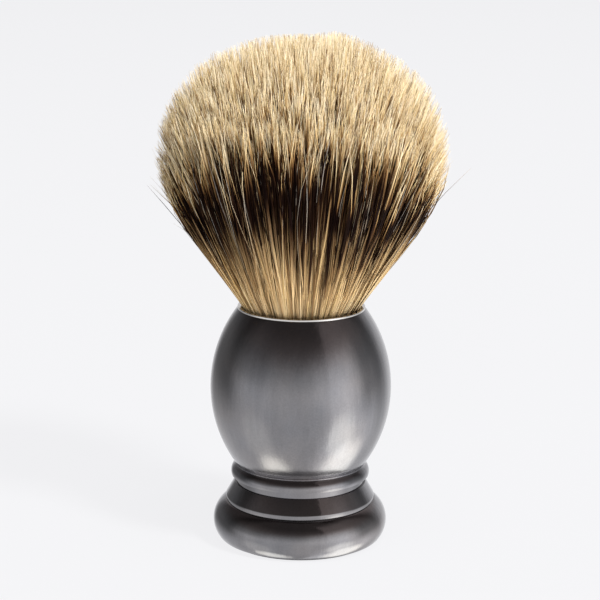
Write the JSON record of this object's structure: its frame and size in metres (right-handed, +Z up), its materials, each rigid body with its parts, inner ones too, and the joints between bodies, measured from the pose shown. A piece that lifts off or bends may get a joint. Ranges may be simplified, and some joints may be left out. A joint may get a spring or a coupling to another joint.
{
  "type": "shaving brush",
  "caption": "Shaving brush: a wide fan of banded badger hair bound in a thin cup, set in a rounded metal grip on a beaded waist and a flared round foot that stands on a pad.",
  "frame": {"origin": "centre of the face that the brush stands on, under its axis", "axes": "+Z up the brush's axis, from the foot to the crown of the hair; +X along the fan's wider way and +Y along its narrower way, so -Y is the broad side that its views show first; the handle is round about +Z"},
  "size_m": [0.0592, 0.041, 0.1062],
  "materials": {
    "smoked_alloy": "turned, smoked grey, satin lacquered",
    "polished_lip": "polished",
    "badger_hair": "natural hair, cream tips, near-black band, tan roots",
    "waxed_thread": "waxed thread",
    "cast_resin": "cast resin",
    "clear_cement": "set epoxy",
    "seal_rubber": "moulded",
    "pad_rubber": "matte sheet",
    "bright_steel": "zinc plated"
  },
  "bodies": {
    "root": {"base_pad": "pad_rubber", "base_plate": "bright_steel", "foot_ring": "smoked_alloy", "foot_seal": "seal_rubber", "foot_skirt": "smoked_alloy", "waist_bead": "smoked_alloy", "bulb_seal": "seal_rubber", "grip_bulb": "smoked_alloy", "balance_weight": "bright_steel", "tie_bolt": "bright_steel", "head_washer": "bright_steel", "nut_washer": "bright_steel", "clamp_nut": "bright_steel", "knot_ferrule": "polished_lip", "knot_cement": "clear_cement", "knot_plug": "cast_resin", "knot_binding": "waxed_thread", "badger_hair": "badger_hair"}
  },
  "joints": []
}
